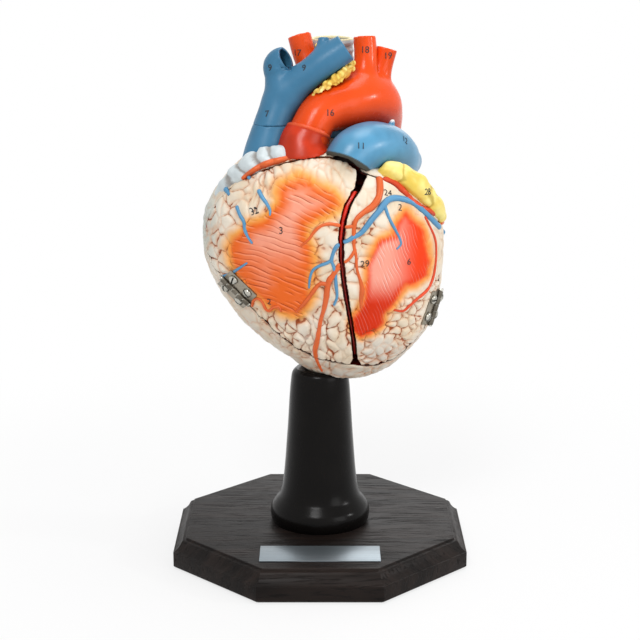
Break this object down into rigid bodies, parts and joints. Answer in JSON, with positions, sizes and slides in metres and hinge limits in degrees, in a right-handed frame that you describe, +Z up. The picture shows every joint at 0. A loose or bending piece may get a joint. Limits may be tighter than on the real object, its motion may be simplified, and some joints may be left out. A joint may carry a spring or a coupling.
{
  "type": "human heart anatomy model",
  "caption": "Enlarged painted human heart on a turned post and octagonal base; both ventricles open as hinged doors and the great vessels lift off.",
  "frame": {"origin": "on the floor under the middle of the base", "axes": "+Z up, -Y towards the viewer who faces the two doors, +X to that viewer's right"},
  "size_m": [0.215, 0.215, 0.3853],
  "materials": {
    "stained_wood": "open-grain hardwood stained black-brown, satin",
    "black_lacquer": "turned hardwood in gloss black lacquer",
    "felt": "short black felt",
    "bare_aluminium": "finely brushed, bare",
    "zinc_steel": "zinc plated",
    "dark_nickel": "tarnished nickel plate",
    "painted_fat": "hand-painted cream fat lobules over orange-brown grooves, semi-gloss",
    "painted_muscle": "hand-painted orange and red muscle fibres within cream fat, semi-gloss",
    "chamber_red": "hand-painted dark red chamber wall, semi-gloss",
    "leaflet_cream": "painted cream leaflets, semi-gloss",
    "aorta_orange": "painted orange-red, semi-gloss",
    "root_red": "painted deep red, semi-gloss",
    "vein_blue": "painted slate blue, semi-gloss",
    "trunk_blue": "painted mid blue, semi-gloss",
    "airway_grey": "painted pale grey with cream rim",
    "fat_yellow": "painted yellow fat lobules, semi-gloss",
    "atrium_grey": "painted pale blue-grey, semi-gloss"
  },
  "bodies": {
    "root": {"base_plinth": "stained_wood", "base_felt": "felt", "nameplate": "bare_aluminium", "post": "black_lacquer", "clamp_rod": "zinc_steel", "rod_washer": "zinc_steel", "rod_nut": "zinc_steel", "heart_nut": "zinc_steel", "heart_back_shell": "painted_fat", "right_hinge_shell_leaf": "dark_nickel", "right_hinge_shell_screw_a": "dark_nickel", "right_hinge_shell_screw_b": "dark_nickel", "right_hinge_pin": "dark_nickel", "left_hinge_shell_leaf": "dark_nickel", "left_hinge_shell_screw_a": "dark_nickel", "left_hinge_shell_screw_b": "dark_nickel", "left_hinge_pin": "dark_nickel", "aortic_root": "root_red", "aortic_valve": "leaflet_cream", "vena_cava_stub": "vein_blue", "pulmonary_trunk": "trunk_blue", "pulmonary_valve": "leaflet_cream", "left_auricle": "fat_yellow", "right_auricle": "atrium_grey", "upper_left_pulmonary_vein": "root_red", "lower_left_pulmonary_vein": "root_red", "upper_right_pulmonary_vein": "root_red", "lower_right_pulmonary_vein": "root_red", "inferior_vena_cava": "vein_blue", "valve_wall": "chamber_red", "ventricular_septum": "chamber_red", "tricuspid_valve": "leaflet_cream", "mitral_valve": "leaflet_cream", "right_papillary_muscle_front": "chamber_red", "right_papillary_muscle_back": "chamber_red", "left_papillary_muscle_front": "chamber_red", "left_papillary_muscle_back": "chamber_red"},
    "right_door": {"right_ventricle_door": "painted_muscle", "right_hinge_door_leaf": "dark_nickel", "right_hinge_door_screw_a": "dark_nickel", "right_hinge_door_screw_b": "dark_nickel"},
    "left_door": {"left_ventricle_door": "painted_muscle", "left_hinge_door_leaf": "dark_nickel", "left_hinge_door_screw_a": "dark_nickel", "left_hinge_door_screw_b": "dark_nickel"},
    "great_vessels": {"aortic_arch": "aorta_orange", "superior_vena_cava": "vein_blue", "trachea": "airway_grey", "mediastinal_fat": "fat_yellow"}
  },
  "joints": [
    {"name": "right_door_hinge", "type": "hinge", "parent": "root", "child": "right_door", "pos_m": [-0.05996, -0.0363, 0.20697], "axis": [0.7184, -0.0998, -0.6884], "range_deg": [0, 110]},
    {"name": "left_door_hinge", "type": "hinge", "parent": "root", "child": "left_door", "pos_m": [0.08334, -0.01423, 0.18985], "axis": [0.28, 0, 0.96], "range_deg": [0, 110]},
    {"name": "great_vessels_lift", "type": "slide", "parent": "root", "child": "great_vessels", "axis": [0, 0, 1], "range_m": [0, 0.12]}
  ]
}
